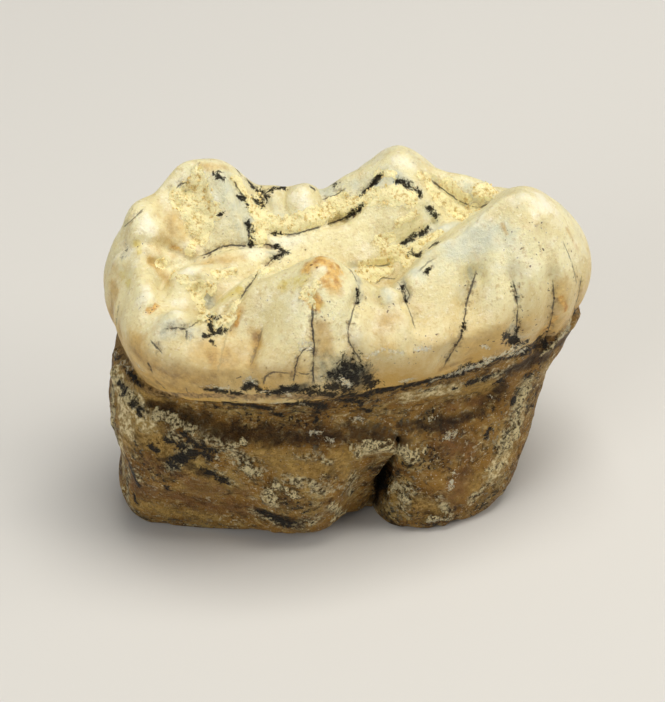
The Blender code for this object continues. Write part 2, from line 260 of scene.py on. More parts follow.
def addMath(tree, operation, *values):
    # each value is a socket or a number
    node = addNode(tree, "ShaderNodeMath", {"operation": operation}, dict(enumerate(values)))
    return node.outputs["Value"]


def addMix(tree, share, first, second):
    # between two numbers
    return addNode(tree, "ShaderNodeMix", {}, {0: share, 2: first, 3: second}).outputs[0]


def addTint(tree, share, first, second):
    # between two colours
    node = addNode(tree, "ShaderNodeMix", {"data_type": "RGBA"}, {0: share, 6: first, 7: second})
    return node.outputs[2]


def addSpread(tree, where, size, detail=6, span=noiseLook["span"], **inputs):
    # noise whose span is spread out to run from 0 to 1, its largest lumps size millimetres
    grain = addNode(tree, "ShaderNodeTexNoise", {},
                    {"Vector": where, "Scale": 1 / (size * mm), "Detail": detail,
                     "Roughness": noiseLook["roughness"], **inputs})
    return addNode(tree, "ShaderNodeMapRange", {},
                   {"Value": grain.outputs["Fac"], "From Min": span[0],
                    "From Max": span[1]}).outputs["Result"]


def addRamp(tree, value, low, high, top):
    # from 0 at low to top at high
    return addNode(tree, "ShaderNodeMapRange", {"interpolation_type": "SMOOTHSTEP"},
                   {"Value": value, "From Min": low, "From Max": high,
                    "To Max": top}).outputs["Result"]


def addStain(tree, where, look, stain):
    # lays one stain over the colour, roughness and height that are there
    mark = readMark(tree, stain["mark"])
    edge = addSpread(tree, where, stain["grain"], span=stain.get("span", noiseLook["span"]),
                     Roughness=stain.get("rough", noiseLook["roughness"]),
                     Distortion=stain.get("twist", 0))
    lift = addMath(tree, "MULTIPLY_ADD", mark, stain["fill"], -1.0)
    cover = addRamp(tree, addMath(tree, "ADD", lift, edge), 0, stain["soft"], stain["cover"])
    speckSize = stain.get("speck", stain["grain"] * noiseLook["speckShare"])
    speck = addSpread(tree, where, speckSize, detail=4)
    share = addRamp(tree, speck, *stain.get("edge", noiseLook["speckEdge"]), 1.0)
    tint = addTint(tree, share, *stain["colours"])
    stained = {**look, "colour": addTint(tree, cover, look["colour"], tint),
               "roughness": addMix(tree, cover, look["roughness"], stain["roughness"])}
    if "bump" in stain:
        rise = addMath(tree, "MULTIPLY", speck, stain["bump"])
        stained["height"] = addMix(tree, cover, look["height"], rise)
    if "shine" in stain and "shine" in look:
        bare = addMath(tree, "MULTIPLY", addMath(tree, "SUBTRACT", 1.0, cover), look["shine"])
        stained["shine"] = addMath(tree, "MULTIPLY_ADD", cover, stain["shine"], bare)
    return stained


def addCracks(tree, where, look):
    # thin wandering lines, of uneven width
    side = readMark(tree, "crackSide")
    dark = readMark(tree, "crackDark")
    wobble = addSpread(tree, where, crackLook["wobble"], detail=4)
    shift = addMath(tree, "MULTIPLY_ADD", wobble, crackLook["shift"], -crackLook["shift"] / 2)
    away = addMath(tree, "ABSOLUTE", addMath(tree, "ADD", side, shift))
    thin = addSpread(tree, where, crackLook["wobble"] * 2, detail=3)
    away = addMath(tree, "MULTIPLY_ADD", thin, crackLook["thinning"],
                   addMath(tree, "SUBTRACT", away, crackLook["thinning"] / 2))
    line = addNode(tree, "ShaderNodeMapRange", {"interpolation_type": "SMOOTHSTEP"},
                   {"Value": away, "From Min": crackLook["core"], "From Max": crackLook["edge"],
                    "To Min": 1.0, "To Max": 0.0}).outputs["Result"]
    cover = addMath(tree, "MULTIPLY", line, dark)
    return {**look, "colour": addTint(tree, cover, look["colour"], crackLook["colour"]),
            "height": addMath(tree, "SUBTRACT", look["height"], cover)}


def addPatch(tree, where, look, patch):
    # a second colour in soft or sharp patches of noise, patch["size"] millimetres across
    squeezed = addNode(tree, "ShaderNodeMapping", {},
                       {"Vector": where, "Scale": patch.get("squeeze", (1, 1, 1)),
                        "Rotation": patch.get("turn", (0, 0, 0))})
    blots = addSpread(tree, squeezed.outputs["Vector"], patch["size"], detail=7,
                      Distortion=patch.get("twist", 0))
    cover = addRamp(tree, blots, *patch["edge"], patch["cover"])
    if "within" in patch:  # only in clusters this many millimetres across
        cluster = addSpread(tree, where, patch["within"], detail=3)
        cover = addMath(tree, "MULTIPLY", cover, addRamp(tree, cluster, *noiseLook["cluster"], 1.0))
    height = look["height"]
    if "sink" in patch:
        height = addMath(tree, "MULTIPLY_ADD", cover, -patch["sink"], height)
    return {**look, "colour": addTint(tree, cover, look["colour"], patch["colour"]),
            "height": height}


def addGrain(tree, where, sizes):
    # a sum of noises: sizes are (millimetres, share)
    height = 0.0
    for size, share in sizes:
        grain = addSpread(tree, where, size, detail=4)
        height = addMath(tree, "MULTIPLY_ADD", grain, share, height)
    return height


def startLook(tree, where, plan):
    low, high = plan["roughness"]
    gloss = addSpread(tree, where, plan["glossSize"], detail=4)
    look = {"colour": plan["base"], "roughness": addMath(tree, "MULTIPLY_ADD", gloss, high - low, low),
            "height": addGrain(tree, where, plan["grain"])}
    for patch in plan["patches"]:
        look = addPatch(tree, where, look, patch)
    return look


def finishLook(tree, where, look, plan):
    for stain in stains:
        look = addStain(tree, where, look, stain)
    look = addCracks(tree, where, look)
    bump = addNode(tree, "ShaderNodeBump", {},
                   {"Height": look["height"], "Distance": plan["bumpHeight"] * mm})
    body = addNode(tree, "ShaderNodeBsdfPrincipled", {},
                   {"Base Color": look["colour"], "Roughness": look["roughness"],
                    "Normal": bump.outputs["Normal"], "IOR": plan["ior"],
                    "Specular IOR Level": plan["shine"], "Subsurface Weight": plan["scatter"],
                    "Subsurface Radius": plan["scatterRadius"],
                    "Subsurface Scale": plan["scatterDepth"] * mm})
    if "shine" in look:  # the black stains are duller than what they lie on
        tree.links.new(look["shine"], body.inputs["Specular IOR Level"])
    addNode(tree, "ShaderNodeOutputMaterial", {}, {"Surface": body.outputs["BSDF"]})


enamelPlan = {
    "base": "#EFE7B7",
    "patches": [
        {"colour": "#DDCB8C", "size": 5.0, "edge": (0.3, 0.9), "cover": 0.6},
        {"colour": "#FCF6DA", "size": 2.0, "edge": (0.5, 0.95), "cover": 0.6},
        {"colour": "#D3D2B8", "size": 2.6, "edge": (0.55, 1.0), "cover": 0.45},
        {"colour": "#D2B778", "size": 0.9, "edge": (0.45, 1.0), "cover": 0.45,
         "squeeze": (1, 1, 0.25)},
        {"colour": "#BFA162", "size": 0.3, "edge": (0.55, 0.95), "cover": 0.5},
        {"colour": "#FFFDEE", "size": 0.22, "edge": (0.6, 0.95), "cover": 0.45},
        {"colour": "#6A4F2A", "size": 0.4, "edge": (0.9, 1.0), "cover": 0.8, "sink": 0.6},
    ],
    "warm": {"colour": "#C9A04A", "size": 3.0, "least": 0.3, "run": 0.6},
    "roughness": (0.27, 0.52),
    "glossSize": 0.35,
    "grain": [(0.9, 0.6), (0.3, 0.5), (0.14, 0.45)],
    "ior": 1.62,
    "shine": 0.5,
    "scatter": 0.15,
    "scatterRadius": (1.0, 0.8, 0.5),
    "scatterDepth": 0.5,
    "bumpHeight": 0.06,
}

rootPlan = {
    "base": "#A57A36",
    "patches": [
        {"colour": "#5F3C14", "size": 3.2, "edge": (0.35, 0.85), "cover": 0.75},
        {"colour": "#C9A75E", "size": 2.2, "edge": (0.5, 0.9), "cover": 0.65},
        {"colour": "#857548", "size": 1.5, "edge": (0.55, 0.85), "cover": 0.5},
        {"colour": "#E2CB8C", "size": 0.5, "edge": (0.5, 0.95), "cover": 0.6,
         "squeeze": (0.6, 0.6, 1.0), "turn": (0.3, 0.5, 0), "twist": 1.0},
        {"colour": "#241504", "size": 0.6, "edge": (0.5, 0.9), "cover": 0.75,
         "squeeze": (0.7, 0.7, 1.0), "turn": (0.5, -0.3, 0), "twist": 1.0, "sink": 0.6},
        {"colour": "#F3E6BC", "size": 0.3, "edge": (0.6, 0.85), "cover": 0.85, "within": 2.4},
        {"colour": "#0A0602", "size": 0.3, "edge": (0.58, 0.74), "cover": 0.95, "within": 3.0,
         "sink": 1.0},
        # fine white flecks: pale grains, and painted glints on the root
        {"colour": "#FFF3CC", "size": 0.16, "edge": (0.74, 0.92), "cover": 0.85},
    ],
    "roughness": (0.28, 0.75),
    "glossSize": 0.35,
    "grain": [(0.8, 0.8), (0.3, 0.9), (0.12, 0.7)],
    "ior": 1.55,
    "shine": 0.18,
    "scatter": 0.0,
    "scatterRadius": (1.0, 0.6, 0.4),
    "scatterDepth": 0.2,
    "bumpHeight": 0.15,
}


def fossilEnamel():
    # tooth enamel, thick and glassy: cream and softly glossy, and it lets a little light in
    material, tree = newMaterial("fossil_enamel")
    where = addNode(tree, "ShaderNodeTexCoord").outputs["Object"]
    look = startLook(tree, where, enamelPlan)
    warm = enamelPlan["warm"]
    patchy = addSpread(tree, where, warm["size"], detail=5)
    patchy = addMath(tree, "MULTIPLY_ADD", patchy, warm["run"], warm["least"])
    share = addMath(tree, "MULTIPLY", readMark(tree, "warm"), patchy)
    look = {**look, "colour": addTint(tree, share, look["colour"], warm["colour"]),
            "shine": enamelPlan["shine"]}
    finishLook(tree, where, look, enamelPlan)
    return material


def rootCementum():
    # root cement, a bone-like crust that soaked up brown and black minerals: dull and mottled
    material, tree = newMaterial("root_cementum")
    where = addNode(tree, "ShaderNodeTexCoord").outputs["Object"]
    finishLook(tree, where, startLook(tree, where, rootPlan), rootPlan)
    return material


# The tooth's mesh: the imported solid, merged and rounded.

toothForm = {
    "mergeDistance": 0.002,
    "quadAngle": 50,  # degrees
    "roundings": 2,
    "marginZ": 12.5,  # faces whose middle is above this are enamel, and the rest is root
}


def copyOfNode(nodeName, pieceName):
    piece = bpy.data.objects.new(pieceName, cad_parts[nodeName].data.copy())
    bpy.context.scene.collection.objects.link(piece)
    bpy.ops.object.select_all(action="DESELECT")
    piece.select_set(True)
    bpy.context.view_layer.objects.active = piece
    piece.data.materials.clear()
    return piece


def applied(piece, kind, **settings):
    bpy.context.view_layer.objects.active = piece
    modifier = piece.modifiers.new(kind.lower(), kind)
    for name, value in settings.items():
        setattr(modifier, name, value)
    bpy.ops.object.modifier_apply(modifier=modifier.name)


def roundedTooth():
    tooth = copyOfNode("tooth", "cave_bear_tooth")
    if tooth.data.has_custom_normals:
        bpy.ops.mesh.customdata_custom_splitnormals_clear()
    tooth.data.materials.append(fossilEnamel())
    tooth.data.materials.append(rootCementum())
    for face in tooth.data.polygons:
        face.material_index = 0 if face.center.z > toothForm["marginZ"] * mm else 1
    bpy.ops.object.mode_set(mode="EDIT")
    bpy.ops.mesh.select_all(action="SELECT")
    bpy.ops.mesh.remove_doubles(threshold=toothForm["mergeDistance"] * mm)
    angle = math.radians(toothForm["quadAngle"])
    bpy.ops.mesh.tris_convert_to_quads(face_threshold=angle, shape_threshold=angle, materials=True)
    bpy.ops.mesh.normals_make_consistent(inside=False)
    bpy.ops.object.mode_set(mode="OBJECT")
    applied(tooth, "SUBSURF", levels=toothForm["roundings"], render_levels=toothForm["roundings"])
    bpy.ops.object.shade_smooth()
    return tooth


tooth = roundedTooth()
print("tooth rounded:", len(tooth.data.polygons), "faces")


# Paths on the surface.

nearest = {"start": 60, "photoStep": 6, "mmStep": 0.4, "jump": 1.6, "unreached": 1e3, "tiny": 1e-9}

sides = {  # where a point's ray starts, and which way it looks
    "near": lambda a, b: (Vector((a, -nearest["start"], b)), Vector((0, 1, 0))),
    "far": lambda a, b: (Vector((a, nearest["start"], b)), Vector((0, -1, 0))),
    "left": lambda a, b: (Vector((-nearest["start"], a, b)), Vector((1, 0, 0))),
    "right": lambda a, b: (Vector((nearest["start"], a, b)), Vector((-1, 0, 0))),
}


def photoRay(px, py):
    right, up, back, eye, focal = photoCamera()
    across = (px - photoView["width"] / 2) / focal
    over = (photoView["height"] / 2 - py) / focal
    return eye, (right * across + up * over - back).normalized()


def meshArrays(piece):
    count = len(piece.data.vertices)
    points = np.empty(count * 3)
    normals = np.empty(count * 3)
    piece.data.vertices.foreach_get("co", points)
    piece.data.vertices.foreach_get("normal", normals)
    return points.reshape(-1, 3) / mm, normals.reshape(-1, 3)


def setPoints(piece, points):
    piece.data.vertices.foreach_set("co", (points * mm).ravel())
    piece.data.update()


def surfaceTree(piece):
    points, _ = meshArrays(piece)
    return BVHTree.FromPolygons(points.tolist(), [list(p.vertices) for p in piece.data.polygons])


def strokeParts(stroke, lead):
    # the numbers before the path, the path as points, and the side it is seen from
    side = stroke[-1] if isinstance(stroke[-1], str) else "photo"
    numbers = [value for value in stroke[lead:] if not isinstance(value, str)]
    return *stroke[:lead], list(zip(numbers[::2], numbers[1::2])), side


def laidPath(tree, side, path):
    # the path's points on the surface, with more between them, None where the ray misses
    step = nearest["photoStep"] if side == "photo" else nearest["mmStep"]
    dense = []
    for (a0, b0), (a1, b1) in zip(path, path[1:]):
        count = max(1, round(math.hypot(a1 - a0, b1 - b0) / step))
        dense += [(a0 + (a1 - a0) * i / count, b0 + (b1 - b0) * i / count) for i in range(count)]
    dense.append(path[-1])
    ray = photoRay if side == "photo" else sides[side]
    return [tree.ray_cast(*ray(a, b))[0] for a, b in dense]


def nearPath(points, normals, tree, path, side, reach):
    # how far each point is from the path, which side of it, and its place along it from 0 to 1
    laid = laidPath(tree, side, path)
    distance = np.full(len(points), nearest["unreached"])
    across = np.zeros(len(points))
    along = np.zeros(len(points))
    runs = [(i, a, b) for i, (a, b) in enumerate(zip(laid, laid[1:]))
            if a and b and (b - a).length < nearest["jump"]]
    if not runs:
        runs = [(i, a, a) for i, a in enumerate(laid) if a]
    if not runs:
        print("no surface under the path", side, path)
        return distance, across, along
    spots = np.array([spot for _, a, b in runs for spot in (a, b)])
    low, high = spots.min(0) - reach, spots.max(0) + reach
    close = np.nonzero(((points > low) & (points < high)).all(1))[0]
    for i, a, b in runs:
        start, run = np.array(a), np.array(b) - np.array(a)
        offset = points[close] - start
        share = np.clip(offset @ run / max(run @ run, nearest["tiny"]), 0, 1)
        gap = offset - share[:, None] * run
        size = np.linalg.norm(gap, axis=1)
        better = size < distance[close]
        chosen = close[better]
        distance[chosen] = size[better]
        turn = np.cross(run, normals[chosen])
        across[chosen] = np.sign((gap[better] * turn).sum(1)) * size[better]
        along[chosen] = (i + share[better]) / max(len(laid) - 1, 1)
    return distance, across, along


def smoothStep(value):
    share = np.clip(value, 0, 1)
    return share * share * (3 - 2 * share)


noiseForm = {"dimension": 0.8, "gap": 2.1}  # the gap is from one octave to the next


def noiseAt(points, size, octaves, seed):
    # soft noise from about -1 to 1, whose largest lumps are size millimetres
    start = Vector((seed, seed, seed))
    return np.array([noise.fractal(Vector(point) / size + start, noiseForm["dimension"],
                                   noiseForm["gap"], octaves) for point in points])


# Relief: each stroke pushes the surface out (+) or in (-) near its path.

relief = [  # reach, push, path
    # grooves between the lobes of the chewing face
    (0.42, -0.24, 150, 262, 170, 267, 195, 261, 212, 252, 232, 246, 250, 246, 275, 248),
    (0.42, -0.26, 275, 257, 262, 266, 250, 280, 244, 290, 236, 302, 226, 314),
    (0.42, -0.26, 252, 245, 248, 228, 243, 210, 238, 192, 233, 180),
    (0.42, -0.26, 272, 232, 290, 234, 310, 229, 335, 222, 350, 217, 362, 208, 374, 196, 385, 186),
    (0.42, -0.2, 284, 190, 282, 205, 290, 218), (0.42, -0.22, 322, 190, 325, 200, 320, 214),
    (0.42, -0.28, 362, 194, 371, 185, 381, 175), (0.42, -0.26, 398, 182, 412, 190, 421, 196),
    (0.42, -0.26, 425, 207, 431, 216, 438, 222), (0.45, -0.3, 402, 245, 415, 235, 428, 231, 438, 222),
    (0.42, -0.26, 410, 258, 425, 254, 440, 243, 462, 232, 478, 217),
    (0.42, -0.24, 430, 178, 447, 193, 462, 203, 480, 208, 491, 200),
    (0.42, -0.28, 341, 262, 352, 273, 359, 285, 360, 300), (0.42, -0.22, 352, 268, 372, 266, 390, 264),
    (0.35, -0.22, 375, 283, 374, 296, 380, 305), (0.35, -0.26, 401, 279, 408, 293, 404, 306),
    (0.6, -0.3, 168, 190, 178, 205, 186, 222, 197, 241),
    (0.5, -0.24, 122, 248, 140, 243, 165, 247, 180, 254, 195, 261),
    (0.42, -0.2, 148, 312, 158, 301, 167, 291),
    (0.5, -0.26, 200, 282, 194, 293, 203, 306, 211, 317, 213, 328),
    (0.35, -0.2, 200, 320, 189, 327, 186, 343), (0.35, -0.14, 163, 329, 178, 328, 188, 330),
    # far left cusp's pit
    (1.6, -0.3, 196, 195, 203, 215, 200, 235),
    # small hole in the pit
    (0.4, -0.3, 184, 190, 186, 194),
    # clay valley on the left
    (0.9, -0.25, 196, 286, 207, 296, 212, 312),
    # lobes, knobs and ridges of the chewing face
    (2.4, 0.42, 142, 216, 152, 230), (1, 0.2, 118, 262, 138, 268), (1.2, 0.32, 181, 306, 183, 311),
    (1.1, 0.3, 146, 288, 148, 295), (1, 0.24, 178, 272, 196, 268),
    (1, 0.22, 222, 290, 238, 278, 254, 267), (0.65, 0.2, 222, 176, 228, 195, 236, 215, 243, 237),
    (0.65, 0.18, 213, 258, 240, 252, 264, 250), (1.4, 0.34, 301, 196, 304, 203),
    (0.7, 0.26, 275, 201, 278, 212), (1.2, 0.2, 406, 206, 390, 224), (0.75, 0.3, 462, 222, 440, 231),
    (0.9, 0.2, 386, 286, 389, 297), (0.65, 0.2, 300, 258, 280, 266, 262, 276),
    (0.65, 0.2, 505, 200, 480, 222, 455, 236, 425, 257), (1.5, 0.32, 462, 184, 479, 187),
    # the near wall's grooves, and the swells between them
    (1.05, -0.38, 359, 300, 350, 322, 347, 340, 357, 360), (0.8, -0.28, 405, 302, 417, 320, 413, 346),
    (0.9, -0.16, 478, 244, 475, 272), (1.1, -0.46, 474, 278, 470, 295, 465, 318, 460, 340, 447, 364),
    (0.8, -0.14, 503, 236, 511, 272), (1.1, -0.42, 513, 280, 517, 298, 518, 320, 515, 343),
    (0.8, -0.14, 541, 230, 551, 272), (1.1, -0.42, 553, 282, 553, 305, 550, 325, 542, 347),
    (0.8, -0.12, 436, 262, 432, 300), (0.7, -0.16, 316, 300, 313, 330, 313, 386),
    (0.8, -0.14, 262, 318, 256, 345, 250, 368), (0.8, -0.14, 124, 290, 116, 325, 126, 352),
    (0.8, -0.14, 582, 268, 579, 300, 573, 318), (1.5, 0.14, 381, 312, 383, 345),
    (1.5, 0.14, 437, 300, 438, 340), (1.3, 0.12, 490, 285, 490, 330), (1.3, 0.12, 534, 270, 534, 325),
    # under the enamel: a thin lip, the hollow neck, the crust's edge, and the arch between the roots
    (0.26, 0.12, 126, 374, 146, 391, 180, 398, 230, 400, 300, 401),
    (1.7, -0.34, 122, 385, 140, 398, 170, 411, 220, 420, 290, 424, 360, 424, 430, 414, 490, 397),
    (0.7, 0.26, 122, 398, 140, 412, 165, 422, 190, 431, 210, 440, 245, 447, 290, 452, 335, 457),
    (0.9, 0.3, 142, 424, 150, 427), (0.7, 0.36, 350, 457, 362, 449, 385, 445, 403, 450, 414, 459),
    (1.2, -0.6, 376, 470, 388, 472, 384, 484),
    # the roots swell where they nearly meet
    (1, 0.18, -0.6, 3, -0.8, 0.8, "near"),
    (1, 0.18, 1.9, 3, 1.9, 0.8, "near"),
    # the sides the photo doesn't show
    (0.95, -0.28, -9.5, 20.5, -9, 17, -9.6, 13.6, "far"),
    (0.95, -0.2, -3.6, 19, -3.2, 16, -3.8, 13.4, "far"),
    (0.95, -0.3, 2.4, 18.8, 2.8, 16, 2, 13.4, "far"),
    (0.95, -0.24, 8.6, 19.6, 8.2, 16.5, 8.8, 13.4, "far"),
    (0.8, -0.14, 12, 19, 12.2, 16.5, 11.8, 13.8, "far"),
    (0.8, -0.2, 4.2, 19.5, 4.4, 16.5, 4, 13.6, "left"),
    (0.95, -0.22, -1.2, 19, -1, 16, -1.6, 13.4, "right"),
    (0.8, -0.16, 3.4, 19, 3.8, 16, 3.2, 13.6, "right"),
    (1.7, -0.3, -13, 10.9, 0, 10.6, 12, 10.9, "far"), (1.7, -0.26, 3.5, 10.9, 7, 10.9, "left"),
    (1.7, -0.26, -7, 10.9, 7, 10.9, "right"),
    (0.7, 0.22, -13.5, 9.2, -8, 8.4, -2, 9, 4, 8.5, 10, 9.3, "far"),
]


slotForm = {  # how far the slot is squeezed at each height, and about which middle
    "heights": (0.0, 2.0, 3.6, 4.6, 6.0, 7.8, 9.2),
    "middles": (0.4, 0.6, 0.9, 1.0, 1.1, 1.1, 1.1),
    "shares": (0.9, 0.88, 0.25, 0.3, 0.92, 0.92, 0.0),
    "reach": 3.4,
    "from": -1.5,  # the slot is left open behind this
    "run": 1.5,
}


def strokePush(piece, tree):
    points, normals = meshArrays(piece)
    push = np.zeros(len(points))
    for stroke in relief:
        reach, height, path, side = strokeParts(stroke, 2)
        distance, _, _ = nearPath(points, normals, tree, path, side, reach)
        push += height * smoothStep(1 - distance / reach)
    return push


def moveOut(piece, push):
    # along the normals, but never out of the solid's box
    points, normals = meshArrays(piece)
    low, high = (np.array(corner) / mm for corner in cadBox)
    points = np.clip(points + normals * push[:, None], low, high)
    setPoints(piece, points)


def squeezeSlot(piece):
    # the roots nearly meet on the near side, but for a hollow halfway up
    points, _ = meshArrays(piece)
    x, y, z = points.T
    offset = x - np.interp(z, slotForm["heights"], slotForm["middles"])
    share = np.interp(z, slotForm["heights"], slotForm["shares"])
    share *= smoothStep(1 - np.abs(offset) / slotForm["reach"])
    share *= smoothStep((slotForm["from"] - y) / slotForm["run"])
    points[:, 0] -= offset * share
    setPoints(piece, points)


squeezeSlot(tooth)
moveOut(tooth, strokePush(tooth, surfaceTree(tooth)))
print("relief carved")


# Marks: where each stain lies, from 1 on its path to 0 at its reach.

marks = {}  # reach, path

# whiter caps on the knobs, and painted highlights on their lit tops
marks["milkyAndPaintedHighlight"] = [
    (1.3, 146, 220, 150, 232), (1.1, 180, 304, 180, 312), (0.9, 146, 287, 147, 294),
    (1, 178, 274, 196, 270), (1.6, 300, 194, 304, 206), (1, 210, 186, 214, 200),
    (0.9, 387, 286, 389, 294), (1.1, 396, 160, 412, 164), (2, 520, 200, 545, 204),
    (1, 445, 230, 460, 223), (1.2, 275, 240, 305, 240), (0.5, 188, 330, 189, 336),
    (0.5, 318, 270, 324, 268),
]
marks["bluish"] = [
    (2.6, 436, 262, 465, 248, 500, 236), (2.4, 229, 185, 240, 215, 246, 238),
    (1.4, 334, 190, 362, 186, 388, 174), (1.4, 425, 205, 436, 230, 462, 222), (1.3, 392, 178, 420, 192),
    (1.5, 165, 318, 192, 328), (1, 383, 286, 388, 298), (1, 466, 186, 474, 194),
    (1, 273, 200, 277, 212), (0.8, 206, 296, 210, 306), (1, 408, 268, 426, 276),
    (0.9, 353, 264, 356, 276), (1, 320, 192, 338, 196),
]
marks["tanAndPaintedShade"] = [
    (1.8, 158, 240, 176, 248, 190, 252), (1, 232, 330, 240, 304), (2.6, 128, 396, 142, 424, 150, 446),
    (2, 160, 442, 200, 470, 225, 480), (1.2, 404, 394, 450, 390, 490, 380),
    # these two lines of strokes, low on the left of the near wall, are painted shade under the crown's
    # bulge as well as tint
    (2.2, 130, 340, 150, 364, 200, 378), (2.8, 126, 352, 160, 376, 210, 386, 236, 380),
    (2.6, 205, 350, 232, 356, 250, 372), (1.6, 120, 330, 134, 362), (2.2, 385, 320, 384, 345),
    (2, 320, 330, 326, 350), (2.4, 170, 218, 182, 236, 196, 248), (1.6, 116, 270, 112, 320),
    (1.3, 205, 262, 240, 258), (1, 150, 262, 170, 282), (2.2, 470, 348, 540, 322),
    (1.8, 562, 285, 560, 322), (1.4, 308, 270, 336, 290), (0.6, 568, 230, 578, 250),
    (1, 250, 330, 258, 345), (0.4, 502, 224, 506, 234), (0.8, 202, 166, 224, 166),
    (1.6, 270, 375, 305, 372), (2, -9, 14, -2, 13.6, "far"), (2, 3, 13.8, 11, 14, "far"),
    (1.8, 4, 14, 7, 13.8, "left"), (1.8, -3, 14, 4, 14, "right"),
]
marks["amberAndPaintedShade"] = [
    # the strokes low on the left of the near wall are painted shade under the crown's bulge as well as
    # tint
    (2, 136, 350, 158, 372, 205, 382), (2.2, 116, 330, 126, 356, 142, 376),
    (1.6, 142, 378, 176, 388, 205, 390), (0.9, 214, 352, 214, 376), (1, 228, 350, 222, 372),
    (0.8, 257, 335, 252, 366), (0.8, 112, 285, 112, 325), (0.5, 440, 370, 470, 358),
    (1.2, 500, 350, 546, 332), (1.4, -12, 13.2, -4, 13, 6, 13.1, 12, 13.2, "far"),
    (1.3, -6, 13.1, 6, 13.1, "right"),
]
marks["redBrown"] = [
    (2.4, 136, 486, 190, 500, 246, 508), (1.6, 150, 462, 200, 488, 240, 492),
    (2, 440, 440, 470, 456, 452, 500), (1.2, 450, 406, 480, 398), (2.2, -8, 3, -4, 2.6, "far"),
    (2.2, 5, 4, 9, 2.6, "far"), (1.8, -4, 5, 4, 4.6, "right"),
]
# the first strokes, on the root's left shoulder, are painted light there as well as pale crust
marks["paleRootAndPaintedLight"] = [
    (1.9, 118, 374, 122, 400, 126, 430), (1.4, 128, 392, 140, 412, 150, 430), (1, 120, 440, 124, 470),
    (1.5, 526, 384, 518, 420, 506, 452, 492, 476), (1.2, 404, 398, 430, 392, 456, 388),
    (1.1, 548, 352, 566, 330), (0.9, 266, 494, 274, 504), (0.8, 330, 508, 338, 510),
    (1, 362, 452, 404, 452), (0.8, 395, 484, 408, 500), (1.6, -11, 8.6, -6, 8, "far"),
    (1.8, 5, 8.2, 11, 7.6, "far"), (1.5, -4.5, 8.6, -2.5, 6.9, -1, 5.2, "right"),
    (1.1, 1.5, 3.8, 3, 2.2, 3.4, 1, "right"), (1.3, -2, 2, 2, 1.6, "far"),
]
marks["smudge"] = [
    (1.3, 168, 332, 182, 338, 194, 332), (0.9, 206, 296, 212, 304), (0.9, 126, 250, 124, 256),
    (0.8, 245, 222, 249, 238), (0.8, 268, 252, 282, 254), (0.8, 183, 188, 187, 194),
    (0.5, 470, 268, 474, 285), (0.5, 514, 278, 517, 300), (0.8, 358, 278, 357, 300),
    (0.8, 404, 282, 408, 300), (1, 508, 330, 520, 336),
]
marks["halo"] = [
    (2.5, 334, 369, 348, 373, 361, 382), (0.9, 280, 392, 305, 386), (0.6, 248, 384, 256, 382),
]
marks["yellow"] = [
    (1.2, 143, 424, 149, 429), (1.2, 282, 288, 304, 278), (1.1, 224, 298, 238, 290),
    (0.8, 123, 276, 129, 283), (0.6, 137, 244, 139, 252), (1, 310, 296, 318, 306),
    (0.7, 200, 168, 196, 176),
]
marks["rust"] = [
    (1.3, 308, 266, 318, 259, 330, 262, 336, 272, 332, 282), (0.4, 172, 247, 180, 249),
    (0.4, 148, 309, 150, 312, 157, 305), (0.3, 236, 326, 239, 312), (0.6, 206, 314, 210, 320),
    (0.5, 181, 200, 186, 210), (1, 312, 296, 316, 304), (0.6, 545, 330, 555, 318),
    (0.5, 561, 298, 566, 310),
]
# the strokes high on the root's left shoulder are painted light there as well as ochre
marks["ochreAndPaintedLight"] = [
    (2.4, 122, 400, 140, 420, 156, 440), (1.6, 150, 430, 190, 470, 236, 486),
    (2, 272, 458, 300, 470, 345, 458), (1.8, 456, 492, 485, 478, 508, 452),
    (1.6, 404, 396, 450, 392, 490, 386), (1, 143, 424, 149, 426), (0.9, 156, 438, 160, 456),
    (1.3, 340, 466, 352, 476), (0.9, 268, 498, 273, 503), (1.3, 135, 504, 170, 512, 210, 516),
    (0.8, 346, 500, 336, 512), (0.8, 118, 366, 128, 380, 144, 394, 165, 401),
    (1.7, 116, 384, 118, 410, 124, 440), (1.8, 138, 412, 142, 432), (1.8, 258, 452, 300, 462),
    (1.2, 400, 500, 440, 508), (1, 180, 488, 210, 492), (2, -11, 6.5, -7, 5, "far"),
    (2.2, 5, 7, 10, 5.5, "far"), (1.8, 4, 6, 7, 4.5, "left"), (1.8, -2, 7, 2, 5, "right"),
]
marks["greyCrust"] = [
    (1.3, 170, 434, 188, 446, 172, 468), (1.7, 202, 438, 232, 448, 256, 470),
    (0.7, 130, 394, 138, 406, 150, 412), (1.2, 352, 476, 350, 494), (1.6, 500, 448, 516, 416, 524, 388),
    (1.4, 258, 514, 290, 526, 316, 520), (1.1, 113, 388, 114, 420, 118, 440),
    (1.3, 392, 482, 410, 490, 402, 506), (0.9, 330, 505, 338, 512), (0.8, 420, 392, 434, 388),
    (1, 128, 470, 128, 500), (1.2, 290, 480, 330, 490), (0.9, 470, 500, 490, 482),
    (0.8, 215, 470, 236, 486), (1, 480, 380, 530, 362), (0.9, 300, 456, 330, 462),
    (1, 440, 500, 450, 515), (1.8, -12, 8.8, -9.5, 7.5, -7.5, 8.3, -4, 6.6, "far"),
    (1.5, 2, 8.2, 5, 9.2, 8, 7.5, 12, 8.6, "far"), (1.6, 4, 8.5, 7, 8, "left"),
    (1.4, -3.5, 8.8, 0, 7.2, 1.5, 7.9, 4.5, 6.4, "right"), (1.4, -9, 1.5, -4, 1, "far"),
    (1.6, 6, 2, 10, 1.2, "far"),
]
